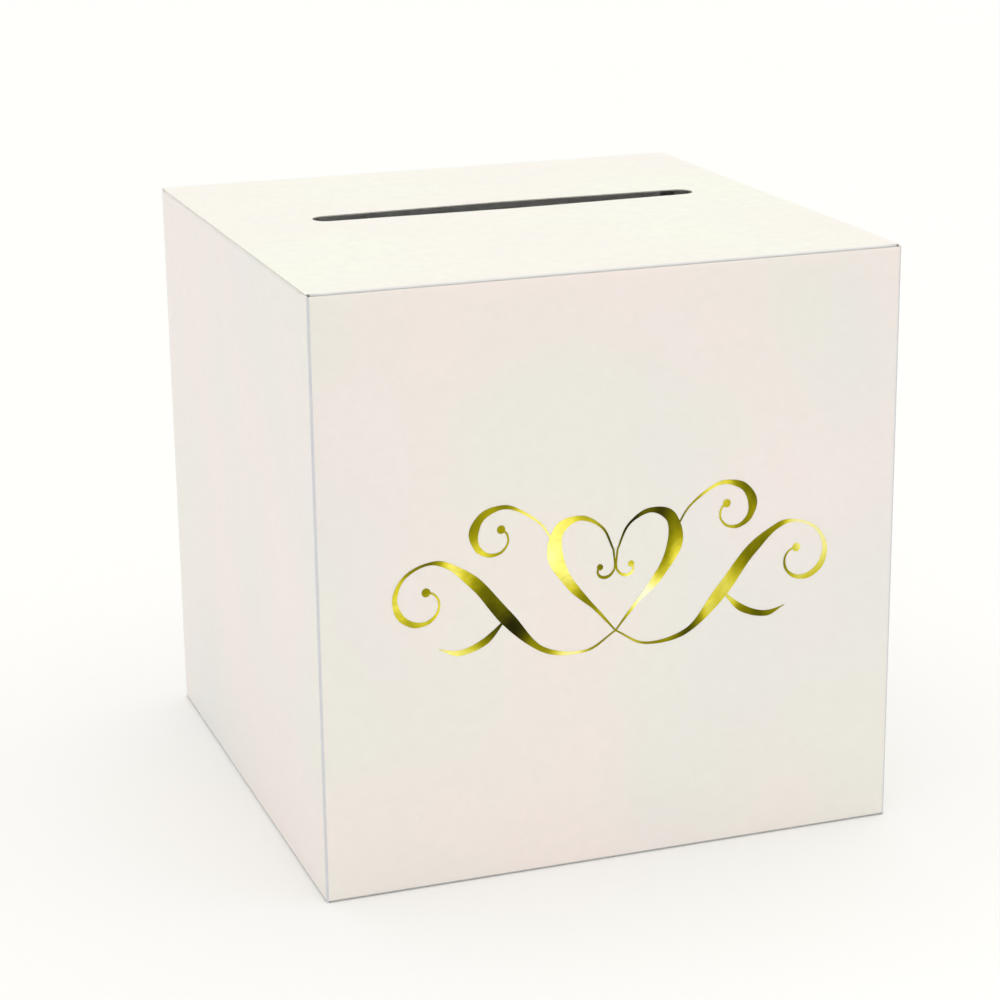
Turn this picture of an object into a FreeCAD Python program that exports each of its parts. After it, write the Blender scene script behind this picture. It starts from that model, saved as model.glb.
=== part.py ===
"""Wedding card box: a folding carton of heavy white board with a card slot in its lid.

The carton is one die-cut sheet. Its panels stay flat and its creases bend, so each panel and
each crease is a sub-part of its own, and so are the line of glue and the gold foil ornament.

Millimetres. The origin is the middle of the footprint on the table, +Z is up, the front panel
with the ornament faces -Y and the box opens towards the back.
"""
import FreeCAD, Part
import math
import os
import Sketcher

doc = FreeCAD.newDocument("wedding_card_box")
sheet = doc.addObject("Spreadsheet::Sheet", "Sizes")

# name, value or formula, meaning
SIZES = [
    ("box_width", "254", "outside, left to right"),
    ("box_depth", "254", "outside, front to back"),
    ("box_height", "254", "table to the top of the lid"),
    ("board", "0.5", "thickness of the board"),
    ("fold_inside", "0.4", "radius inside every crease"),
    ("lid_gap", "0.1", "air between the lid and the dust flaps under it"),
    ("rim_gap", "1", "air between the tuck fold and the front panel"),
    ("front_drop", "0.8", "how far the front panel's raw edge lies below the lid"),
    ("side_gap", "0.15", "how far the lid stops short of each side"),
    ("ply_gap", "0.05", "air between the plies of the bottom"),
    ("slot_length", "180", "card slot, along the lid"),
    ("slot_width", "18", "card slot, across, at its middle"),
    ("slot_end", "13", "card slot, across, where the round ends begin"),
    ("slot_back", "22", "card slot, behind the middle of the lid"),
    ("slot_shift", "7", "card slot, to the right of the middle of the lid"),
    ("slot_clear", "5", "dust flaps stop this far short of the ends of the slot"),
    ("tuck_depth", "35", "how far the tuck flap reaches down inside"),
    ("tuck_inset", "1.5", "tuck flap, shorter than the lid at each side"),
    ("tuck_corner", "14", "rounding of the tuck flap"),
    ("tuck_spare", "0.55", "degrees the tuck flap leans in more than it must"),
    ("dust_front", "9", "dust flap, from the outside of the front"),
    ("dust_back", "3.2", "dust flap, from the outside of the back"),
    ("dust_front_taper", "9", "dust flap, how far its front edge is drawn in at the tip"),
    ("dust_back_taper", "16", "the same at its back edge, so the lid lifts clear of it"),
    ("dust_corner", "6", "rounding of the dust flaps"),
    ("ear_gap", "0.5", "cut between a dust flap and the side beside it"),
    ("glue_width", "18", "glue flap, out from its crease"),
    ("glue_thick", "0.1", "line of glue in the seam"),
    ("glue_slope", "9", "how much shorter the glue flap is at its free edge"),
    ("glue_foot", "8", "lower end of the glue flap, above the table"),
    ("glue_head", "10", "upper end of the glue flap, below the lid"),
    ("glue_margin", "2.5", "bare board round the line of glue"),
    ("ramp_run", "12", "length over which a bottom flap climbs onto the one below"),
    ("mitre_gap", "0.5", "air between neighbouring bottom flaps at a corner"),
    ("tongue_width", "76", "locking tongue of the bottom"),
    ("tongue_reach", "30", "how far the tongue lies over the main bottom flap"),
    ("tongue_corner", "12", "rounding of the tongue"),
    ("tongue_gap", "4", "air between the tongue and the side bottom flaps"),
    ("main_reach", "142", "main bottom flap, from the outside of the back to its free edge"),
    ("main_taper", "30", "main bottom flap, drawn in at each end of its free edge"),
    ("lock_taper", "25", "lock flap, drawn in at each shoulder"),
    ("lock_shoulder", "20", "lock flap's shoulders, in front of the main flap's free edge"),
    ("climb_run", "13", "length over which the tongue climbs onto the main flap"),
    ("climb_clear", "2", "top of that climb, in front of the main flap's free edge"),
    ("side_front_taper", "56", "side bottom flap, tip, from the outside of the front"),
    ("side_back_taper", "76", "side bottom flap, tip, from the outside of the back"),
    ("foil_width", "192", "gold ornament, end to end"),
    ("foil_centre", "128", "gold ornament, height of its middle"),
    ("foil_thick", "0.08", "gold foil and its adhesive, standing off the board"),
    # everything below follows from the sizes above
    ("fold", "=fold_inside + board", "radius outside every crease"),
    ("half_width", "=box_width / 2", ""),
    ("half_depth", "=box_depth / 2", ""),
    ("wall_right", "=box_width - fold", "front panel, right edge"),
    ("wall_back", "=box_depth - fold", "left panel, back edge"),
    ("back_top", "=box_height - fold", "top of the back panel"),
    ("front_top", "=box_height - front_drop", "raw top edge of the front panel"),
    ("seam_right", "=box_width - board - glue_thick", "outside of the glue flap"),
    ("back_right", "=seam_right - fold", "back panel, right edge"),
    ("side_top", "=box_height - board - lid_gap", "top of the dust flaps"),
    ("side_edge", "=side_top - fold", "side panels, under the dust creases"),
    ("dust_end", "=box_depth - dust_back", "back end of a dust crease"),
    ("ear_front", "=dust_front - ear_gap", ""),
    ("ear_back", "=dust_end + ear_gap", ""),
    ("dust_reach", "=(box_width - slot_length) / 2 - slot_shift - slot_clear", ""),
    ("dust_flat", "=dust_reach - fold", "dust flap without its crease"),
    ("dust_tip_front", "=dust_front + dust_front_taper", ""),
    ("dust_tip_back", "=dust_end - dust_back_taper", ""),
    ("dust_round", "=min(dust_corner; dust_flat * 0.6)", "rounding, within the flap"),
    ("lid_front", "=board + rim_gap + fold", "lid panel, front edge"),
    ("lid_width", "=box_width - 2 * side_gap", ""),
    ("slot_half", "=slot_length / 2", ""),
    ("slot_x", "=half_width - side_gap + slot_shift", "slot centre from the lid's left edge"),
    ("slot_y", "=half_depth + slot_back", "slot centre from the front of the box"),
    ("tuck_lean", "=atan(tuck_depth / (2 * (box_depth - board))) + tuck_spare * 1 deg",
     "the tuck flap leans in, so its tip swings out past the front panel"),
    ("tuck_flat", "=tuck_depth - fold", "tuck flap without its crease"),
    ("tuck_width", "=lid_width - 2 * tuck_inset", ""),
    ("tuck_y", "=lid_front - half_depth - fold_inside * cos(tuck_lean)"
     " + tuck_flat * sin(tuck_lean)", "lower inside edge of the tuck flap"),
    ("tuck_z", "=back_top - fold_inside * sin(tuck_lean) - tuck_flat * cos(tuck_lean)", ""),
    ("tuck_turn", "=90 deg + tuck_lean", "angle of the tuck crease"),
    ("glue_top", "=box_height - glue_head", ""),
    ("glue_low_tip", "=glue_foot + glue_slope", ""),
    ("glue_high_tip", "=glue_top - glue_slope", ""),
    ("glue_y", "=half_depth - fold - glue_width", "free edge of the glue flap"),
    ("glue_line_y", "=glue_y + glue_margin", ""),
    ("glue_line_low", "=glue_low_tip + glue_margin", ""),
    ("glue_line_height", "=glue_high_tip - glue_low_tip - 2 * glue_margin", ""),
    ("glue_line_width", "=glue_width - 2 * glue_margin", ""),
    ("ply", "=board + ply_gap", "height of one ply of the bottom"),
    ("ply_top", "=ply + board", ""),
    ("two_ply", "=2 * ply", ""),
    ("two_ply_top", "=two_ply + board", ""),
    ("three_ply", "=3 * ply", ""),
    ("three_ply_top", "=three_ply + board", ""),
    ("root", "=fold + mitre_gap", "bottom flap, end of its crease"),
    ("root_far_x", "=box_width - root", ""),
    ("root_far_y", "=box_depth - root", ""),
    ("root_len_x", "=box_width - 2 * root", ""),
    ("root_len_y", "=box_depth - 2 * root", ""),
    ("step_in", "=fold + ramp_run", "where the climb of a bottom flap ends"),
    ("mitre", "=step_in + mitre_gap", "straight edge of a bottom flap, in from the wall"),
    ("mitre_far_x", "=box_width - mitre", ""),
    ("mitre_far_y", "=box_depth - mitre", ""),
    ("step_far_y", "=box_depth - step_in", ""),
    ("side_reach", "=(box_width - tongue_width) / 2 - tongue_gap", ""),
    ("side_flat", "=side_reach - fold", ""),
    ("side_step", "=side_flat - ramp_run", ""),
    ("side_tip_back", "=box_depth - side_back_taper", ""),
    ("main_edge", "=box_depth - main_reach", "free edge of the main bottom flap"),
    ("main_tip_right", "=box_width - main_taper", ""),
    ("shoulder", "=main_edge - lock_shoulder", "where the tongue leaves the lock flap"),
    ("climb_end", "=main_edge - climb_clear", ""),
    ("climb_start", "=climb_end - climb_run", ""),
    ("tongue_tip", "=main_edge + tongue_reach", ""),
    ("tongue_left", "=(box_width - tongue_width) / 2", ""),
    ("tongue_right", "=(box_width + tongue_width) / 2", ""),
    ("lock_right", "=box_width - lock_taper", ""),
]

for row, (name, value, meaning) in enumerate(SIZES, start=1):
    sheet.set("A%d" % row, name)
    sheet.set("B%d" % row, value)
    sheet.set("C%d" % row, meaning)
    sheet.setAlias("B%d" % row, name)
doc.recompute()


def size(name):
    """The number behind a name in the sheet."""
    value = sheet.get(name)
    return float(getattr(value, "Value", value))


def bind(thing, prop, expression):
    """Ties a property to the sheet. Names of sizes are written as Sizes.name."""
    thing.setExpression(prop, expression)


def place(thing, x="0", y="0", z="0", turn=None):
    """Puts a sub-part where the formulas say, turned first if need be."""
    if turn is not None:
        thing.Placement = FreeCAD.Placement(FreeCAD.Vector(0, 0, 0), turn)
    bind(thing, "Placement.Base.x", x)
    bind(thing, "Placement.Base.y", y)
    bind(thing, "Placement.Base.z", z)


def new_sketch(body, plane):
    sketch = body.newObject("Sketcher::SketchObject", body.Name + "_outline")
    base = [f for f in body.Origin.OriginFeatures if f.Role == plane][0]
    sketch.AttachmentSupport = [(base, "")]
    sketch.MapMode = "FlatFace"
    return sketch


def pin(sketch, edge, end, axis, name):
    """Holds one end of an edge at a size from the sketch's origin, along one axis."""
    if name == 0:
        value = 0.0
    else:
        value = size(name)
    at = sketch.addConstraint(Sketcher.Constraint(axis, -1, 1, edge, end, value))
    if name != 0:
        bind(sketch, "Constraints[%d]" % at, "Sizes." + name)


def outline(body, plane, points):
    """A closed outline whose corners are pairs of sizes, every corner tied to the sheet."""
    sketch = new_sketch(body, plane)
    flat = [FreeCAD.Vector(size(a) if a else 0, size(b) if b else 0, 0) for a, b in points]
    count = len(points)
    for i in range(count):
        sketch.addGeometry(Part.LineSegment(flat[i], flat[(i + 1) % count]), False)
    for i in range(count):
        sketch.addConstraint(Sketcher.Constraint("Coincident", i, 2, (i + 1) % count, 1))
    for i, (a, b) in enumerate(points):
        pin(sketch, i, 1, "DistanceX", a)
        pin(sketch, i, 1, "DistanceY", b)
    return sketch


def pad(body, sketch, length="board", reverse=False):
    feature = body.newObject("PartDesign::Pad", body.Name + "_pad")
    feature.Profile = sketch
    bind(feature, "Length", "Sizes." + length)
    feature.Reversed = reverse
    sketch.Visibility = False
    doc.recompute()
    return feature


def round_corners(body, feature, corners, plane, radius):
    """Rounds the corners of a flat piece that stand at the given points of its outline."""
    axes = {"XY_Plane": (0, 1), "XZ_Plane": (0, 2), "YZ_Plane": (1, 2)}[plane]
    wanted = [(size(a) if a else 0, size(b) if b else 0) for a, b in corners]
    names = []
    for i, edge in enumerate(feature.Shape.Edges, start=1):
        ends = [v.Point for v in edge.Vertexes]
        if len(ends) != 2:
            continue
        spots = [(p[axes[0]], p[axes[1]]) for p in ends]
        if math.dist(spots[0], spots[1]) > 1e-6:
            continue
        if any(math.dist(spots[0], w) < 1e-4 for w in wanted):
            names.append("Edge%d" % i)
    fillet = body.newObject("PartDesign::Fillet", body.Name + "_rounding")
    fillet.Base = (feature, names)
    bind(fillet, "Radius", "Sizes." + radius)
    doc.recompute()
    return fillet


def new_body(label):
    body = doc.addObject("PartDesign::Body", label)
    body.Label = label
    return body


def panel(label, plane, points, reverse=False, length="board", corners=None, radius=None):
    """A flat piece of the board."""
    body = new_body(label)
    feature = pad(body, outline(body, plane, points), length, reverse)
    if corners:
        round_corners(body, feature, corners, plane, radius)
    return body


ALONG_X = FreeCAD.Rotation(FreeCAD.Vector(1, 1, 1), 120)
ALONG_Y = FreeCAD.Rotation(FreeCAD.Vector(1, 1, 1), 240)
ALONG_Z = FreeCAD.Rotation()


def crease(label, along, quarter, length, angle=None):
    """A quarter round of board: the bend between two panels."""
    rounds = []
    for suffix, radius in (("_outside", "fold"), ("_inside", "fold_inside")):
        cylinder = doc.addObject("Part::Cylinder", label + suffix)
        bind(cylinder, "Radius", "Sizes." + radius)
        bind(cylinder, "Height", length)
        if angle is None:
            cylinder.Angle = 90
        else:
            bind(cylinder, "Angle", "Sizes." + angle)
        rounds.append(cylinder)
    cut = doc.addObject("Part::Cut", label)
    cut.Label = label
    cut.Base = rounds[0]
    cut.Tool = rounds[1]
    turn = along.multiply(FreeCAD.Rotation(FreeCAD.Vector(0, 0, 1), 90 * quarter))
    return cut, turn


LEFT = "-Sizes.half_width"
FRONT = "-Sizes.half_depth"

# ---- walls -------------------------------------------------------------------------------
front_panel = panel("front_panel", "XZ_Plane", [
    ("fold", "fold"), ("wall_right", "fold"),
    ("wall_right", "front_top"), ("fold", "front_top")], reverse=True)
place(front_panel, LEFT, FRONT)

back_panel = panel("back_panel", "XZ_Plane", [
    ("fold", "fold"), ("back_right", "fold"),
    ("back_right", "back_top"), ("fold", "back_top")])
place(back_panel, LEFT, "Sizes.half_depth")


def side_outline(back):
    """Side panel: lower under the dust crease, with an ear at each end."""
    return [
        ("fold", "fold"), (back, "fold"), (back, "side_top"), ("ear_back", "side_top"),
        ("ear_back", "side_edge"), ("ear_front", "side_edge"),
        ("ear_front", "side_top"), ("fold", "side_top")]


left_panel = panel("left_panel", "YZ_Plane", side_outline("wall_back"))
place(left_panel, LEFT, FRONT)

right_panel = panel("right_panel", "YZ_Plane", side_outline("box_depth"))
place(right_panel, "Sizes.half_width - Sizes.board", FRONT)

# ---- upright creases ---------------------------------------------------------------------
for label, quarter, x, y, top in (
        ("front_left_crease", 2, "Sizes.fold - Sizes.half_width",
         "Sizes.fold - Sizes.half_depth", "front_top"),
        ("front_right_crease", -1, "Sizes.half_width - Sizes.fold",
         "Sizes.fold - Sizes.half_depth", "front_top"),
        ("back_left_crease", 1, "Sizes.fold - Sizes.half_width",
         "Sizes.half_depth - Sizes.fold", "back_top")):
    bend, turn = crease(label, ALONG_Z, quarter, "Sizes." + top)
    place(bend, x, y, "0", turn)

# ---- seam at the back right corner ----------------------------------------------------------
seam_crease, turn = crease("seam_crease", ALONG_Z, 0, "Sizes.glue_top - Sizes.glue_foot")
place(seam_crease, "Sizes.back_right - Sizes.half_width", "Sizes.half_depth - Sizes.fold",
      "Sizes.glue_foot", turn)

glue_flap = panel("glue_flap", "YZ_Plane", [
    (0, "glue_low_tip"), ("glue_width", "glue_foot"),
    ("glue_width", "glue_top"), (0, "glue_high_tip")])
place(glue_flap, "Sizes.seam_right - Sizes.board - Sizes.half_width", "Sizes.glue_y")

seam_glue = doc.addObject("Part::Box", "seam_glue")
seam_glue.Label = "seam_glue"
bind(seam_glue, "Length", "Sizes.glue_thick")
bind(seam_glue, "Width", "Sizes.glue_line_width")
bind(seam_glue, "Height", "Sizes.glue_line_height")
place(seam_glue, "Sizes.seam_right - Sizes.half_width", "Sizes.glue_line_y", "Sizes.glue_line_low")

# ---- lid -----------------------------------------------------------------------------------
lid_panel = panel("lid_panel", "XY_Plane", [
    (0, "lid_front"), ("lid_width", "lid_front"),
    ("lid_width", "wall_back"), (0, "wall_back")])
place(lid_panel, "Sizes.side_gap - Sizes.half_width", FRONT, "Sizes.box_height - Sizes.board")


def cut_slot(body):
    """The card slot: widest at its middle, drawn in a little towards two round ends."""
    sketch = new_sketch(body, "XY_Plane")
    cx, cy = size("slot_x"), size("slot_y")
    half, wide, end = size("slot_half"), size("slot_width") / 2, size("slot_end") / 2
    run = half - end
    spots = [(-run, end), (0, wide), (run, end), (run, -end), (0, -wide), (-run, -end)]
    spots = [FreeCAD.Vector(cx + x, cy + y, 0) for x, y in spots]
    tips = [FreeCAD.Vector(cx + half, cy, 0), FreeCAD.Vector(cx - half, cy, 0)]
    sketch.addGeometry(Part.LineSegment(spots[0], spots[1]), False)
    sketch.addGeometry(Part.LineSegment(spots[1], spots[2]), False)
    sketch.addGeometry(Part.Arc(spots[2], tips[0], spots[3]), False)
    sketch.addGeometry(Part.LineSegment(spots[3], spots[4]), False)
    sketch.addGeometry(Part.LineSegment(spots[4], spots[5]), False)
    sketch.addGeometry(Part.Arc(spots[5], tips[1], spots[0]), False)
    # an arc runs anticlockwise, so its first end is the lower one at the right hand end
    joins = [(0, 2, 1, 1), (1, 2, 2, 2), (2, 1, 3, 1), (3, 2, 4, 1), (4, 2, 5, 2), (5, 1, 0, 1)]
    for a, a_end, b, b_end in joins:
        sketch.addConstraint(Sketcher.Constraint("Coincident", a, a_end, b, b_end))
    across = "Sizes.slot_x %s (Sizes.slot_half - Sizes.slot_end / 2)"
    rules = [
        (0, 1, "DistanceX", across % "-"), (0, 1, "DistanceY", "Sizes.slot_y + Sizes.slot_end / 2"),
        (1, 1, "DistanceX", "Sizes.slot_x"), (1, 1, "DistanceY", "Sizes.slot_y + Sizes.slot_width / 2"),
        (1, 2, "DistanceX", across % "+"), (1, 2, "DistanceY", "Sizes.slot_y + Sizes.slot_end / 2"),
        (3, 1, "DistanceX", across % "+"), (3, 1, "DistanceY", "Sizes.slot_y - Sizes.slot_end / 2"),
        (4, 1, "DistanceX", "Sizes.slot_x"), (4, 1, "DistanceY", "Sizes.slot_y - Sizes.slot_width / 2"),
        (4, 2, "DistanceX", across % "-"), (4, 2, "DistanceY", "Sizes.slot_y - Sizes.slot_end / 2"),
        (2, 3, "DistanceX", across % "+"), (5, 3, "DistanceX", across % "-"),
    ]
    for edge, end_of, axis, expression in rules:
        point = sketch.getPoint(edge, end_of)
        value = point.x if axis == "DistanceX" else point.y
        at = sketch.addConstraint(Sketcher.Constraint(axis, -1, 1, edge, end_of, value))
        bind(sketch, "Constraints[%d]" % at, expression)
    pocket = body.newObject("PartDesign::Pocket", body.Name + "_slot")
    pocket.Profile = sketch
    pocket.Type = 1
    pocket.Midplane = True
    sketch.Visibility = False
    doc.recompute()


cut_slot(lid_panel)

lid_crease, turn = crease("lid_crease", ALONG_X, 0, "Sizes.seam_right - Sizes.side_gap")
place(lid_crease, "Sizes.side_gap - Sizes.half_width", "Sizes.half_depth - Sizes.fold",
      "Sizes.back_top", turn)

tuck_crease, turn = crease("tuck_crease", ALONG_X, 1, "Sizes.tuck_width", "tuck_turn")
place(tuck_crease, "Sizes.side_gap + Sizes.tuck_inset - Sizes.half_width",
      "Sizes.lid_front - Sizes.half_depth", "Sizes.back_top", turn)

tuck_flap = panel("tuck_flap", "XZ_Plane", [
    (0, 0), ("tuck_width", 0), ("tuck_width", "tuck_flat"), (0, "tuck_flat")],
    corners=[(0, 0), ("tuck_width", 0)], radius="tuck_corner")
place(tuck_flap, "Sizes.side_gap + Sizes.tuck_inset - Sizes.half_width", "Sizes.tuck_y",
      "Sizes.tuck_z")
bind(tuck_flap, "Placement.Rotation.Angle", "Sizes.tuck_lean")
tuck_flap.Placement = FreeCAD.Placement(
    tuck_flap.Placement.Base, FreeCAD.Rotation(FreeCAD.Vector(1, 0, 0), size("tuck_lean")))

# ---- dust flaps ------------------------------------------------------------------------------
left_dust_flap = panel("left_dust_flap", "XY_Plane", [
    (0, "dust_front"), ("dust_flat", "dust_tip_front"),
    ("dust_flat", "dust_tip_back"), (0, "dust_end")],
    corners=[("dust_flat", "dust_tip_front"), ("dust_flat", "dust_tip_back")],
    radius="dust_round")
place(left_dust_flap, "Sizes.fold - Sizes.half_width", FRONT, "Sizes.side_top - Sizes.board")

right_dust_flap = panel("right_dust_flap", "XY_Plane", [
    ("dust_flat", "dust_front"), ("dust_flat", "dust_end"),
    (0, "dust_tip_back"), (0, "dust_tip_front")],
    corners=[(0, "dust_tip_front"), (0, "dust_tip_back")], radius="dust_round")
place(right_dust_flap, "Sizes.half_width - Sizes.dust_reach", FRONT,
      "Sizes.side_top - Sizes.board")

for label, quarter, x in (
        ("left_dust_crease", -1, "Sizes.fold - Sizes.half_width"),
        ("right_dust_crease", 0, "Sizes.half_width - Sizes.fold")):
    bend, turn = crease(label, ALONG_Y, quarter, "Sizes.dust_end - Sizes.dust_front")
    place(bend, x, "Sizes.dust_front - Sizes.half_depth", "Sizes.side_edge", turn)

# ---- bottom, four flaps locked into each other -------------------------------------------------
def bottom_flap(label, plane, profile, length, reverse, shape, corners=None, radius=None):
    """A bottom flap: its rise seen from the side, trimmed to its outline seen from below."""
    rise = new_body(label + "_rise")
    pad(rise, outline(rise, plane, profile), length, reverse)
    trim = new_body(label + "_trim")
    feature = pad(trim, outline(trim, "XY_Plane", shape), "step_in")
    if corners:
        round_corners(trim, feature, corners, "XY_Plane", radius)
    both = doc.addObject("Part::Common", label)
    both.Label = label
    both.Base = rise
    both.Tool = trim
    doc.recompute()
    return both


bottom_left_flap = bottom_flap(
    "bottom_left_flap", "XZ_Plane", [
        (0, 0), ("ramp_run", "ply"), ("side_flat", "ply"),
        ("side_flat", "ply_top"), ("ramp_run", "ply_top"), (0, "board")],
    "box_depth", True, [
        (0, "root"), ("ramp_run", "mitre"), ("side_flat", "side_front_taper"),
        ("side_flat", "side_tip_back"), ("ramp_run", "mitre_far_y"), (0, "root_far_y")])
place(bottom_left_flap, "Sizes.fold - Sizes.half_width", FRONT)

bottom_right_flap = bottom_flap(
    "bottom_right_flap", "XZ_Plane", [
        (0, "ply"), ("side_step", "ply"), ("side_flat", 0),
        ("side_flat", "board"), ("side_step", "ply_top"), (0, "ply_top")],
    "box_depth", True, [
        (0, "side_front_taper"), ("side_step", "mitre"), ("side_flat", "root"),
        ("side_flat", "root_far_y"), ("side_step", "mitre_far_y"), (0, "side_tip_back")])
place(bottom_right_flap, "Sizes.half_width - Sizes.side_reach", FRONT)

bottom_main_flap = bottom_flap(
    "bottom_main_flap", "YZ_Plane", [
        ("wall_back", 0), ("wall_back", "board"), ("step_far_y", "two_ply_top"),
        ("main_edge", "two_ply_top"), ("main_edge", "two_ply"), ("step_far_y", "two_ply")],
    "box_width", False, [
        ("main_taper", "main_edge"), ("main_tip_right", "main_edge"),
        ("mitre_far_x", "step_far_y"), ("root_far_x", "wall_back"),
        ("root", "wall_back"), ("mitre", "step_far_y")])
place(bottom_main_flap, LEFT, FRONT)

bottom_lock_flap = bottom_flap(
    "bottom_lock_flap", "YZ_Plane", [
        ("fold", 0), ("climb_start", 0), ("climb_end", "three_ply"), ("tongue_tip", "three_ply"),
        ("tongue_tip", "three_ply_top"), ("climb_end", "three_ply_top"),
        ("climb_start", "board"), ("fold", "board")],
    "box_width", False, [
        ("root", "fold"), ("root_far_x", "fold"), ("mitre_far_x", "step_in"),
        ("lock_right", "shoulder"), ("tongue_right", "shoulder"),
        ("tongue_right", "tongue_tip"), ("tongue_left", "tongue_tip"),
        ("tongue_left", "shoulder"), ("lock_taper", "shoulder"), ("mitre", "step_in")],
    corners=[("tongue_right", "tongue_tip"), ("tongue_left", "tongue_tip")],
    radius="tongue_corner")
place(bottom_lock_flap, LEFT, FRONT)

for label, along, quarter, x, y, length in (
        ("bottom_front_crease", ALONG_X, 2, "Sizes.root - Sizes.half_width",
         "Sizes.fold - Sizes.half_depth", "root_len_x"),
        ("bottom_back_crease", ALONG_X, -1, "Sizes.root - Sizes.half_width",
         "Sizes.half_depth - Sizes.fold", "root_len_x"),
        ("bottom_left_crease", ALONG_Y, 2, "Sizes.fold - Sizes.half_width",
         "Sizes.root - Sizes.half_depth", "root_len_y"),
        ("bottom_right_crease", ALONG_Y, 1, "Sizes.half_width - Sizes.fold",
         "Sizes.root - Sizes.half_depth", "root_len_y")):
    bend, turn = crease(label, along, quarter, "Sizes." + length)
    place(bend, x, y, "Sizes.fold", turn)

# ---- gold foil ornament: a pen flourish round a small heart -----------------------------------
def curl(x, z, wide, tight, start, end):
    """Points round a spiral about (x, z), from one radius and direction to another."""
    count = max(2, round(abs(end - start) / 40))
    points = []
    for k in range(count + 1):
        share = k / count
        turn = math.radians(start + (end - start) * share)
        radius = wide + (tight - wide) * share ** 0.8
        points.append((x + radius * math.cos(turn), z + radius * math.sin(turn)))
    return points


# Each stroke is a run of points the pen passes, the widths it draws there and the radius of the
# dot it ends in. They are drawn for the right half; the left half is its mirror image.
STROKES = [
    # lobe of the heart, from its point up and over to the notch
    ([(0, -25), (8, -15.5), (19, -3.5), (25.5, 9), (23.5, 20), (14.5, 23.5), (5.5, 18.5), (0.9, 9)],
     [0.7, 1.4, 4.0, 6.6, 4.6, 2.0, 1.0, 0.8], 0),
    # small curl that hangs from the notch
    ([(0.9, 9)] + curl(5.4, 1.2, 5.2, 1.6, 170, 400),
     [0.8, 0.8, 1.0, 1.3, 1.2, 0.9, 0.8, 0.8], 1.3),
    # long swash, from the point of the heart out to a curl
    ([(0, -25), (13, -32), (31, -29), (46, -14), (58, 1), (70, 10.5)]
     + curl(80, -3.5, 15.5, 4.2, 95, -255),
     [0.7, 1.0, 2.2, 5.8, 5.0, 2.4, 1.1, 1.3, 2.0, 2.8, 2.4, 1.6, 1.1, 0.9, 0.8, 0.8], 1.8),
    # upper swash, from the heart's shoulder to a curl
    ([(25.3, 13), (31, 22.5), (39.5, 29)] + curl(50, 19.5, 12.5, 3.8, 105, -235),
     [0.7, 0.8, 1.1, 1.7, 3.0, 4.0, 2.6, 1.6, 1.0, 0.8, 0.8, 0.8], 1.7),
    # leaf under the long swash
    ([(46, -14), (55, -22.5), (65.5, -26), (74, -23.5)], [0.7, 2.9, 2.4, 0.4], 0),
]
DRAWN_WIDTH = 185.4
STEPS = 6


def pen_line(points, widths):
    """Points along a smooth pen line and the width at each, from the points it passes."""
    first = (2 * points[0][0] - points[1][0], 2 * points[0][1] - points[1][1])
    last = (2 * points[-1][0] - points[-2][0], 2 * points[-1][1] - points[-2][1])
    knots = [first] + list(points) + [last]
    line = []
    for i in range(1, len(knots) - 2):
        a, b, c, d = knots[i - 1:i + 3]
        for k in range(STEPS):
            u = k / STEPS
            spot = []
            for j in (0, 1):
                spot.append(0.5 * (2 * b[j] + (c[j] - a[j]) * u
                                   + (2 * a[j] - 5 * b[j] + 4 * c[j] - d[j]) * u * u
                                   + (3 * b[j] - a[j] - 3 * c[j] + d[j]) * u ** 3))
            ease = u * u * (3 - 2 * u)
            line.append((spot[0], spot[1], widths[i - 1] * (1 - ease) + widths[i] * ease))
    line.append((points[-1][0], points[-1][1], widths[-1]))
    return line


def stroke_faces(points, widths, dot, scale, side):
    """One pen stroke and its end dot as flat faces in the plane y = 0, on one side of the middle."""
    line = pen_line(points, widths)
    left, right = [], []
    for i, (x, z, width) in enumerate(line):
        before = line[max(i - 1, 0)]
        after = line[min(i + 1, len(line) - 1)]
        dx, dz = after[0] - before[0], after[1] - before[1]
        span = math.hypot(dx, dz)
        nx, nz = -dz / span * width / 2, dx / span * width / 2
        left.append(FreeCAD.Vector(side * (x + nx) * scale, 0, (z + nz) * scale))
        right.append(FreeCAD.Vector(side * (x - nx) * scale, 0, (z - nz) * scale))
    edges = []
    for row in (left, right):
        curve = Part.BSplineCurve()
        curve.interpolate(row)
        edges.append(curve.toShape())
    edges.append(Part.makeLine(left[0], right[0]))
    edges.append(Part.makeLine(left[-1], right[-1]))
    faces = [Part.Face(Part.Wire(Part.__sortEdges__(edges)))]
    if dot:
        middle = FreeCAD.Vector(side * line[-1][0] * scale, 0, line[-1][1] * scale)
        circle = Part.Circle(middle, FreeCAD.Vector(0, 1, 0), dot * scale)
        faces.append(Part.Face(Part.Wire(circle.toShape())))
    return faces


def flourish():
    """All strokes joined into one sheet of foil."""
    scale = size("foil_width") / DRAWN_WIDTH
    faces = []
    for points, widths, dot in STROKES:
        for side in (1, -1):
            faces.extend(stroke_faces(points, widths, dot, scale, side))
    prisms = [face.extrude(FreeCAD.Vector(0, -size("foil_thick"), 0)) for face in faces]
    whole = prisms[0].multiFuse(prisms[1:])
    return whole.removeSplitter()


gold_foil_ornament = doc.addObject("Part::Feature", "gold_foil_ornament")
gold_foil_ornament.Label = "gold_foil_ornament"
gold_foil_ornament.Shape = flourish()
gold_foil_ornament.Placement = FreeCAD.Placement(
    FreeCAD.Vector(0, -size("half_depth"), size("foil_centre")), FreeCAD.Rotation())

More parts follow.
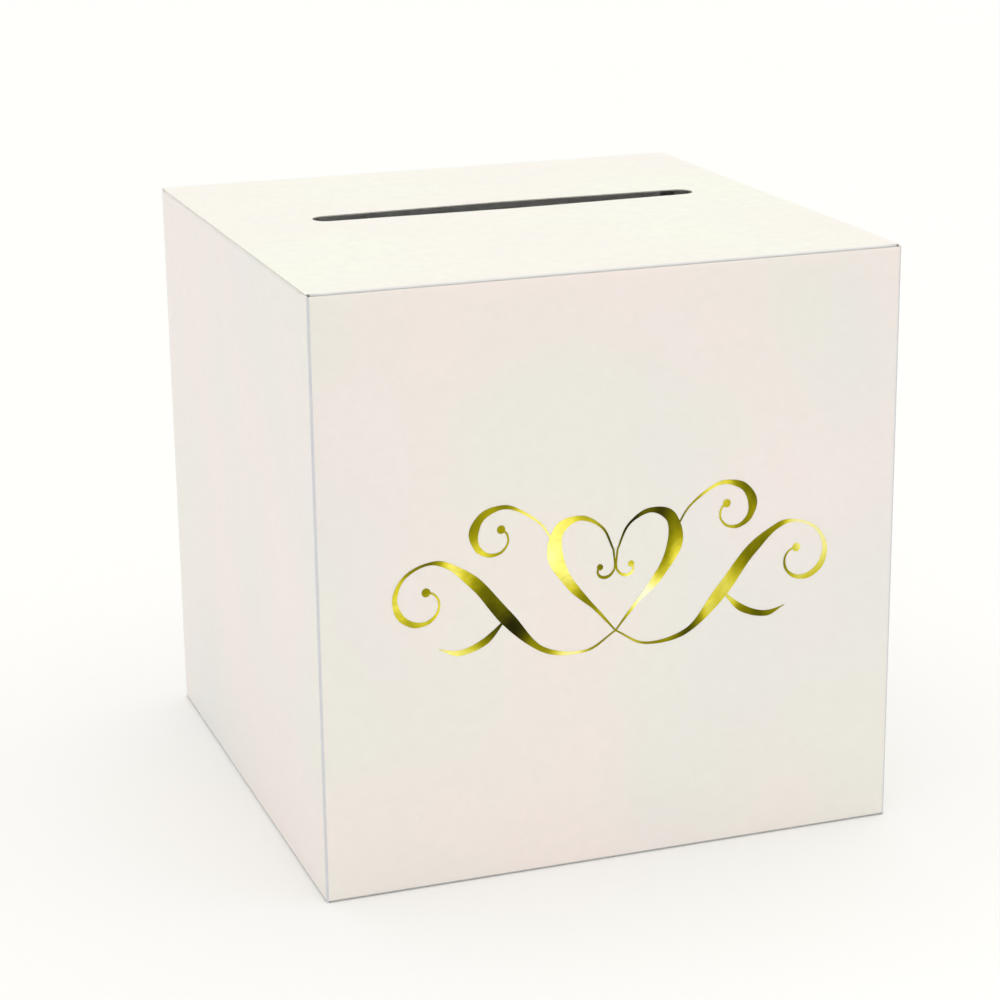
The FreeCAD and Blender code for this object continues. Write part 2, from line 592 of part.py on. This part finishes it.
# ---- check and write ---------------------------------------------------------------------------
NODES = [
    "front_panel", "back_panel", "left_panel", "right_panel",
    "front_left_crease", "front_right_crease", "back_left_crease",
    "seam_crease", "glue_flap", "seam_glue",
    "lid_panel", "lid_crease", "tuck_crease", "tuck_flap",
    "left_dust_flap", "right_dust_flap", "left_dust_crease", "right_dust_crease",
    "bottom_left_flap", "bottom_right_flap", "bottom_main_flap", "bottom_lock_flap",
    "bottom_front_crease", "bottom_back_crease", "bottom_left_crease", "bottom_right_crease",
    "gold_foil_ornament",
]

doc.recompute()
for thing in doc.Objects:
    bad = [s for s in thing.State if s in ("Invalid", "Error")]
    if bad:
        raise RuntimeError("%s is %s" % (thing.Label, bad))

os.makedirs("parts", exist_ok=True)
for label in NODES:
    thing = doc.getObjectsByLabel(label)[0]
    shape = thing.Shape
    if shape.isNull() or not shape.isValid() or shape.Volume <= 0:
        raise RuntimeError("%s has no sound shape" % label)
    shape.exportStep("parts/%s.step" % label)
print("wrote %d sub-parts" % len(NODES))
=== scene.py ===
import bmesh
import bpy
import math
from mathutils import Matrix, Vector


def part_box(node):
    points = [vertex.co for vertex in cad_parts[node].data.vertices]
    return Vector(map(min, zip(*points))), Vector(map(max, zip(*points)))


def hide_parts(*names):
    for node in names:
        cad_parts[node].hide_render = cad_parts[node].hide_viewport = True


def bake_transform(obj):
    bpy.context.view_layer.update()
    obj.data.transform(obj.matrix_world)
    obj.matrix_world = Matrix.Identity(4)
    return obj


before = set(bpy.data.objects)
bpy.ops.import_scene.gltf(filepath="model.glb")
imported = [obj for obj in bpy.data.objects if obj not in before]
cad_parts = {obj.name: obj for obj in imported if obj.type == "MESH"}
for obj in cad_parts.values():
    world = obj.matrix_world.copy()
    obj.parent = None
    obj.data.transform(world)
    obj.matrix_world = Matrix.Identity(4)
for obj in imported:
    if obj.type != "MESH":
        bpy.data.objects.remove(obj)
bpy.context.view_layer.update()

# Which way a carton's faces and lamps look, in the box's own directions.
LEFT, RIGHT = (-1, 0, 0), (1, 0, 0)
FRONT, BEHIND = (0, -1, 0), (0, 1, 0)
DOWN, UP = (0, 0, -1), (0, 0, 1)


def mm(value):
    """Millimetres as metres."""
    return value / 1000


def sRGB(code):
    """A colour such as #F3EEE6 as the linear values that shaders take."""
    parts = [int(code[i:i + 2], 16) / 255 for i in (1, 3, 5)]
    linear = [p / 12.92 if p <= 0.04045 else ((p + 0.055) / 1.055) ** 2.4 for p in parts]
    return (*linear, 1.0)


def grain(size_mm):
    """Noise scale whose blotches are about this many millimetres across."""
    return 1000 / size_mm


def add(tree, kind, settings=None, links=None):
    """Adds a shader node, gives it its settings and joins its inputs."""
    node = tree.nodes.new(kind)
    for key, value in (settings or {}).items():
        if isinstance(key, str) and hasattr(node, key):
            setattr(node, key, value)
        else:
            node.inputs[key].default_value = value
    for key, source in (links or {}).items():
        tree.links.new(source, node.inputs[key])
    return node


def new_material(name):
    """An empty material, its node tree and the position on the piece, in metres."""
    material = bpy.data.materials.new(name)
    material.use_nodes = True
    tree = material.node_tree
    tree.nodes.clear()
    where = add(tree, "ShaderNodeTexCoord").outputs["Object"]
    return material, tree, where


def finish_material(tree, surface):
    add(tree, "ShaderNodeOutputMaterial", links={"Surface": surface})


def blotches(tree, where, size_mm, detail=3.0, rough=0.55, stretch=(1, 1, 1)):
    """Cloudy variation from 0 to 1, its blotches about size_mm across."""
    if stretch != (1, 1, 1):
        where = add(tree, "ShaderNodeMapping", {"Scale": stretch}, {"Vector": where}).outputs[0]
    return add(tree, "ShaderNodeTexNoise",
               {"Scale": grain(size_mm), "Detail": detail, "Roughness": rough},
               {"Vector": where}).outputs["Fac"]


def spread(tree, value, low, high, to_low, to_high):
    """Stretches part of a value's range onto another range, without going past its ends."""
    return add(tree, "ShaderNodeMapRange",
               {"From Min": low, "From Max": high, "To Min": to_low, "To Max": to_high},
               {"Value": value}).outputs["Result"]


def mixed(tree, share, first, second):
    """Two colours mixed; each is a hex code or the output of another node.

    The mix node has sockets of one name for several kinds of data, so they go by number.
    """
    node = add(tree, "ShaderNodeMix", {"data_type": "RGBA"})
    tree.links.new(share, node.inputs[0])
    for index, colour in ((6, first), (7, second)):
        if isinstance(colour, str):
            node.inputs[index].default_value = sRGB(colour)
        else:
            tree.links.new(colour, node.inputs[index])
    return node.outputs[2]


def relief(tree, layers):
    """Surface relief from (height in mm, 0 to 1 pattern) layers, one on top of the other."""
    normal = None
    for height_mm, pattern in layers:
        bump = add(tree, "ShaderNodeBump", {"Strength": 1.0, "Distance": mm(height_mm)},
                   {"Height": pattern})
        if normal is not None:
            tree.links.new(normal, bump.inputs["Normal"])
        normal = bump.outputs["Normal"]
    return normal


# ---- the board: 0.5 mm solid bleached paperboard, pearl coated on one side ---------------------
# Board this thin lets a little light through, so the inside of a closed box is grey, not black.
GLOW = {"Subsurface Weight": 0.6, "Subsurface Scale": mm(0.5), "Subsurface Radius": (1, 1, 1)}


def pearl_coated_face(name, rose, cream, cool):
    """Outside of the board: a roller-applied pearl coat over stock that felts have marked.

    It gives a satin white that drifts between faint rose, cream and cool white over a hand's
    width. The felt marks are drawn coarser than real ones, so that they show.
    """
    material, tree, where = new_material(name)
    drift = spread(tree, blotches(tree, where, 95, 1.5), 0.38, 0.60, 0, 1)
    pearl = mixed(tree, drift, rose, cream)
    thin_coat = spread(tree, blotches(tree, where, 140, 1.0, stretch=(1, 1, 0.6)), 0.5, 0.75, 0, 0.6)
    pearl = mixed(tree, thin_coat, pearl, cool)
    formation = spread(tree, blotches(tree, where, 5.5, 4), 0.3, 0.7, 0, 0.3)
    pearl = mixed(tree, formation, pearl, "#E9E4DC")
    tooth = blotches(tree, where, 0.32, 2)
    felt = blotches(tree, where, 2.4, 3)
    shine = spread(tree, felt, 0.3, 0.7, 0.46, 0.60)
    surface = add(tree, "ShaderNodeBsdfPrincipled",
                  {"IOR": 1.5, "Coat Weight": 0.22, "Coat Roughness": 0.34, "Coat IOR": 1.56,
                   "Sheen Weight": 0.06, "Sheen Roughness": 0.5, **GLOW},
                  {"Base Color": pearl, "Roughness": shine,
                   "Normal": relief(tree, [(0.015, felt), (0.004, tooth)])})
    finish_material(tree, surface.outputs[0])
    return material


def uncoated_back():
    """Inside of the board: bare matt stock, its fibres showing both ways of the sheet.

    A few tan specks show in it. The fibres are drawn coarser than real ones, so that they show.
    """
    material, tree, where = new_material("uncoated board inside")
    fibre_up = blotches(tree, where, 1.1, 3, 0.7, (1, 1, 0.16))
    fibre_across = blotches(tree, where, 1.3, 3, 0.7, (0.18, 0.18, 1))
    stock = mixed(tree, spread(tree, fibre_up, 0.35, 0.7, 0, 1), "#F6F5F4", "#EEEDEB")
    stock = mixed(tree, spread(tree, fibre_across, 0.45, 0.75, 0, 0.6), stock, "#F8F8F6")
    specks = spread(tree, blotches(tree, where, 0.7, 1), 0.74, 0.80, 0, 0.5)
    stock = mixed(tree, specks, stock, "#CFC8BC")
    surface = add(tree, "ShaderNodeBsdfPrincipled", {"Roughness": 0.9, "IOR": 1.45, **GLOW},
                  {"Base Color": stock,
                   "Normal": relief(tree, [(0.03, fibre_up), (0.03, fibre_across)])})
    finish_material(tree, surface.outputs[0])
    return material


def die_cut_edge():
    """Cut edge of the board: the dead-matt white core, fuzzy where the die pressed through it."""
    material, tree, where = new_material("die cut board edge")
    plies = blotches(tree, where, 0.22, 3, 0.7)
    core = mixed(tree, spread(tree, plies, 0.35, 0.7, 0, 1), "#EFEBE3", "#D6CFC3")
    surface = add(tree, "ShaderNodeBsdfPrincipled", {"Roughness": 0.95, "IOR": 1.4},
                  {"Base Color": core, "Normal": relief(tree, [(0.05, plies)])})
    finish_material(tree, surface.outputs[0])
    return material


def scored_crease(name, fold_shade, crazed_fold_shade, lighter_fold_shade):
    """Outside of a crease: scored board with a crazed coat, its colour greyed as painted shade along
    the fold.

    Here and there along the fold the painted shade is lighter.
    """
    material, tree, where = new_material(name)
    crazing = blotches(tree, where, 0.12, 2, 0.6)
    lighter_shade_runs = blotches(tree, where, 9, 3)
    # the grey of the fold colours is painted shade; the crazing pattern only varies it
    coat = mixed(tree, spread(tree, crazing, 0.45, 0.75, 0, 0.7), fold_shade, crazed_fold_shade)
    coat = mixed(tree, spread(tree, lighter_shade_runs, 0.45, 0.7, 0, 0.4), coat, lighter_fold_shade)
    surface = add(tree, "ShaderNodeBsdfPrincipled",
                  {"Roughness": 0.55, "IOR": 1.5, "Coat Weight": 0.15, "Coat Roughness": 0.4},
                  {"Base Color": coat, "Normal": relief(tree, [(0.02, crazing)])})
    finish_material(tree, surface.outputs[0])
    return material


def gold_hot_foil():
    """Hot-stamped foil: vacuum-coated aluminium under a yellow lacquer, pressed onto the coat.

    Its base colour is painted with reflections of a dark and a light room, running from dark olive
    to pale gold in bands as wide as a finger; the metal also mirrors the room.
    """
    material, tree, where = new_material("gold hot foil")
    slanted = add(tree, "ShaderNodeMapping",
                  {"Rotation": (0, math.radians(28), 0), "Scale": (1, 1, 0.55)},
                  {"Vector": where}).outputs[0]
    # painted reflection: dark olive to pale gold bands in the foil's base colour
    painted_reflection_mask = blotches(tree, slanted, 26, 1.6, 0.5)
    painted_reflection = add(tree, "ShaderNodeValToRGB", links={"Fac": painted_reflection_mask})
    painted_reflection_stops = [(0.33, "#26240A"), (0.41, "#5F5D08"), (0.49, "#8E880F"), (0.55, "#C8BE33"),
             (0.61, "#F0E97C"), (0.70, "#F8F3CC")]
    painted_reflection_band = painted_reflection.color_ramp
    while len(painted_reflection_band.elements) < len(painted_reflection_stops):
        painted_reflection_band.elements.new(0.5)
    for element, (position, code) in zip(painted_reflection_band.elements, painted_reflection_stops):
        element.position = position
        element.color = sRGB(code)
    tooth = blotches(tree, where, 0.35, 2)
    ripple = blotches(tree, where, 7, 2)
    shine = spread(tree, tooth, 0.3, 0.7, 0.12, 0.26)
    surface = add(tree, "ShaderNodeBsdfPrincipled", {"Metallic": 1.0},
                  {"Base Color": painted_reflection.outputs["Color"], "Roughness": shine,
                   "Normal": relief(tree, [(0.35, ripple), (0.004, tooth)])})
    finish_material(tree, surface.outputs[0])
    return material


def dried_glue():
    """White carton glue, rolled on and dried to a milky, slightly glossy film with bubbles."""
    material, tree, where = new_material("dried carton glue")
    bubbles = add(tree, "ShaderNodeTexVoronoi", {"Scale": grain(1.6)}, {"Vector": where})
    milk = mixed(tree, spread(tree, bubbles.outputs["Distance"], 0.1, 0.5, 0, 1),
                 "#E9E6DA", "#D8D2BF")
    surface = add(tree, "ShaderNodeBsdfPrincipled",
                  {"Roughness": 0.35, "IOR": 1.48, "Transmission Weight": 0.2},
                  {"Base Color": milk,
                   "Normal": relief(tree, [(0.05, bubbles.outputs["Distance"])])})
    finish_material(tree, surface.outputs[0])
    return material


def sweep_paper():
    """A studio's sweep of matt white paper, which the box stands on."""
    material, tree, where = new_material("white sweep")
    cloud = blotches(tree, where, 700, 2)
    paper = mixed(tree, cloud, "#FAF9F8", "#F8F8F6")
    grit = blotches(tree, where, 0.8, 2)
    surface = add(tree, "ShaderNodeBsdfPrincipled", {"Roughness": 0.8, "IOR": 1.45},
                  {"Base Color": paper, "Normal": relief(tree, [(0.02, grit)])})
    finish_material(tree, surface.outputs[0])
    return material


FACE = pearl_coated_face("pearl coated board", "#F6EAE5", "#EFECE3", "#E9E8E8")
# the lid is the same board as the walls; its colours are lighter copies of theirs, painted light on
# the top of the box
LIT_LID_FACE = pearl_coated_face("pearl coated board painted lighter for the lid", "#FCF4E9", "#FBF9E8", "#FAF7EC")
BACK = uncoated_back()
EDGE = die_cut_edge()
# grey-blue crease colours: painted shade along the upright folds
SHADED_CREASE = scored_crease("pearl coated crease", "#D5D4D8", "#C3C3CC", "#E0DFE0")
# the lid's creases get the lightest painted shade of the creases
SHADED_LID_CREASE = scored_crease("pearl coated lid crease", "#E9E7E5", "#DBD9D9", "#F0EDE9")
# the creases the box stands on are painted darkest grey: painted contact shadow along the foot of
# the box
SHADED_FOOT_CREASE = scored_crease("pearl crease with painted contact shadow", "#B9B7B4", "#A09E9B", "#CBC9C4")
FOIL = gold_hot_foil()
GLUE = dried_glue()


# the three materials of every piece of board, by their places on it
OUTSIDE, INSIDE, CUT = 0, 1, 2
# a face looks a given way when this much of its normal does
SQUARE_ON = 0.6


def paint(mesh, *materials):
    """Replaces a mesh's materials."""
    mesh.materials.clear()
    for material in materials:
        mesh.materials.append(material)


def dress(node, outwards, outside=FACE):
    """Gives a piece of board its coated outside, bare inside and cut edges."""
    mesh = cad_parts[node].data
    paint(mesh, outside, BACK, EDGE)
    outwards = Vector(outwards).normalized()
    for face in mesh.polygons:
        facing = face.normal.dot(outwards)
        if facing > SQUARE_ON:
            face.material_index = OUTSIDE
        elif facing < -SQUARE_ON:
            face.material_index = INSIDE
        else:
            face.material_index = CUT


for node, outwards in {
        "front_panel": FRONT, "back_panel": BEHIND, "left_panel": LEFT, "right_panel": RIGHT,
        "glue_flap": RIGHT, "tuck_flap": FRONT, "left_dust_flap": UP, "right_dust_flap": UP,
        "bottom_left_flap": DOWN, "bottom_right_flap": DOWN,
        "bottom_main_flap": DOWN, "bottom_lock_flap": DOWN}.items():
    dress(node, outwards)
dress("lid_panel", UP, LIT_LID_FACE)

for node, outwards in {
        "front_left_crease": (-1, -1, 0), "front_right_crease": (1, -1, 0),
        "back_left_crease": (-1, 1, 0), "seam_crease": (1, 1, 0)}.items():
    dress(node, outwards, SHADED_CREASE)

for node, outwards in {
        "bottom_front_crease": (0, -1, -1), "bottom_back_crease": (0, 1, -1),
        "bottom_left_crease": (-1, 0, -1), "bottom_right_crease": (1, 0, -1)}.items():
    dress(node, outwards, SHADED_FOOT_CREASE)

paint(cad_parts["gold_foil_ornament"].data, FOIL)
paint(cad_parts["seam_glue"].data, GLUE)


# ---- creases bent round their folds --------------------------------------------------------
BEND_STEPS = 12      # flats round a bend
BEND_RUNS = 40       # lengths along it
TUCK_LEAN = 4.5      # degrees the tuck flap leans in


def face_outwards(mesh):
    """Turns every face of a closed mesh so that it looks out of the solid."""
    solid = bmesh.new()
    solid.from_mesh(mesh)
    bmesh.ops.recalc_face_normals(solid, faces=solid.faces)
    solid.to_mesh(mesh)
    solid.free()
    mesh.update()


def bend_mesh(name, node, along, side, turns, outside):
    """A strip of board round a crease's fold, and the points where its outside starts and ends.

    along is the fold's axis (0 for X, 1 for Y), side is the way the fold bulges on the other
    axis, and the turns are degrees up from the positive end of that other axis.
    """
    low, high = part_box(node)
    lid_low, lid_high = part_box("lid_panel")
    across = 1 - along
    radius_out = high[across] - low[across]
    radius_in = radius_out - (lid_high.z - lid_low.z)
    middle = low[across] if side > 0 else high[across]
    middle_z = high.z - radius_out

    def spot(far, radius, turn):
        point = [0, 0, middle_z + radius * math.sin(math.radians(turn))]
        point[along] = far
        point[across] = middle + radius * math.cos(math.radians(turn))
        return tuple(point)

    start_turn, end_turn = turns
    fan = [start_turn + (end_turn - start_turn) * k / BEND_STEPS for k in range(BEND_STEPS + 1)]
    ring = [(radius_out, turn) for turn in fan] + [(radius_in, turn) for turn in reversed(fan)]
    count = len(ring)
    points, faces, kinds = [], [], []
    for r in range(BEND_RUNS + 1):
        far = low[along] + (high[along] - low[along]) * r / BEND_RUNS
        points.extend(spot(far, radius, turn) for radius, turn in ring)
    for r in range(BEND_RUNS):
        near, next_near = r * count, (r + 1) * count
        for k in range(count):
            n = (k + 1) % count
            faces.append((near + k, near + n, next_near + n, next_near + k))
            if k < BEND_STEPS:
                kinds.append(OUTSIDE)
            elif BEND_STEPS < k < count - 1:
                kinds.append(INSIDE)
            else:
                kinds.append(CUT)
    for k in range(BEND_STEPS):
        opposite = count - 1 - k
        for end in (0, BEND_RUNS * count):
            faces.append((end + k, end + k + 1, end + opposite - 1, end + opposite))
            kinds.append(CUT)
    mesh = bpy.data.meshes.new(name)
    mesh.from_pydata(points, [], faces)
    paint(mesh, outside, BACK, EDGE)
    for face, kind in zip(mesh.polygons, kinds):
        face.material_index = kind
        face.use_smooth = kind != CUT
    face_outwards(mesh)
    return mesh, spot(0, radius_out, start_turn), spot(0, radius_out, end_turn)


def bending_crease(name, node, along, side, turns, outside):
    """Puts a strip bent round the fold in the place of a crease, and hides the crease's part."""
    mesh, start, end = bend_mesh(name, node, along, side, turns, outside)
    piece = bpy.data.objects.new(name, mesh)
    bpy.context.scene.collection.objects.link(piece)
    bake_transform(piece)
    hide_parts(node)


bending_crease("lid_crease_bend", "lid_crease", 0, 1, (0, 90), SHADED_LID_CREASE)
bending_crease("tuck_crease_bend", "tuck_crease", 0, -1, (90, 180 + TUCK_LEAN),
               SHADED_LID_CREASE)
bending_crease("left_dust_crease_bend", "left_dust_crease", 1, -1,
               (180, 90), FACE)
bending_crease("right_dust_crease_bend", "right_dust_crease", 1, 1,
               (0, 90), FACE)


# ---- setting, light and camera ---------------------------------------------------------------
def lamp(name, kind, energy, colour, comes_from, **shape):
    """A lamp whose light comes from the given way."""
    data = bpy.data.lights.new(name, kind)
    data.energy = energy
    data.color = sRGB(colour)[:3]
    for key, value in shape.items():
        setattr(data, key, value)
    holder = bpy.data.objects.new(name, data)
    bpy.context.scene.collection.objects.link(holder)
    holder.rotation_euler = Vector(comes_from).to_track_quat("Z", "Y").to_euler()
    return holder


def pale_dome():
    """An even white studio all round, a touch greyer low down."""
    world = bpy.data.worlds.new("studio")
    bpy.context.scene.world = world
    world.use_nodes = True
    tree = world.node_tree
    tree.nodes.clear()
    way = add(tree, "ShaderNodeTexCoord").outputs["Generated"]
    rise = add(tree, "ShaderNodeSeparateXYZ", links={"Vector": way}).outputs["Z"]
    dome = mixed(tree, spread(tree, rise, 0.0, 0.9, 0.0, 1.0), "#ECEDEE", "#FFFFFD")
    glow = add(tree, "ShaderNodeBackground", {"Strength": 0.93}, {"Color": dome})
    add(tree, "ShaderNodeOutputWorld", links={"Surface": glow.outputs[0]})


def standing_camera(place, azimuth, elevation, roll, lens_mm):
    """The camera at a place, looking the way its angles in degrees give."""
    azimuth, elevation, roll = (math.radians(a) for a in (azimuth, elevation, roll))
    backwards = Vector((math.sin(azimuth) * math.cos(elevation),
                        -math.cos(azimuth) * math.cos(elevation), math.sin(elevation)))
    right = (-backwards).cross(Vector(UP)).normalized()
    upwards = right.cross(-backwards)
    level = math.cos(roll) * right + math.sin(roll) * upwards
    plumb = math.cos(roll) * upwards - math.sin(roll) * right
    data = bpy.data.cameras.new("camera")
    data.sensor_width = 36
    data.lens = lens_mm
    camera = bpy.data.objects.new("camera", data)
    bpy.context.scene.collection.objects.link(camera)
    bpy.context.scene.camera = camera
    turned = Matrix((level, plumb, backwards)).transposed().to_4x4()
    camera.matrix_world = Matrix.Translation(place) @ turned


# the sweep runs on so far that its edges show only in the lowest views
bpy.ops.mesh.primitive_plane_add(size=80)
floor = bpy.context.object
floor.name = "sweep"
floor.data.materials.append(sweep_paper())

pale_dome()
lamp("ceiling_light", "SUN", 0.56, "#FFFDFA", (0.06, 0.05, 1.0), angle=math.radians(80))
# a low soft fill in front lifts the foot of the front panel, as a white table does
fill = lamp("low_fill", "AREA", 0.05, "#FFF8F8", FRONT, shape="RECTANGLE", size=0.34, size_y=0.10)
fill.location = (0.03, -0.45, 0.06)
fill.visible_camera = False

standing_camera((-0.3853, -1.0876, 0.4707), azimuth=-19.25, elevation=16.78, roll=-0.71,
                lens_mm=95.5)

bpy.context.scene.view_settings.view_transform = "Standard"
bpy.context.scene.view_settings.look = "None"
bpy.context.scene.view_settings.exposure = 0.0
bpy.context.scene.view_settings.gamma = 1.0
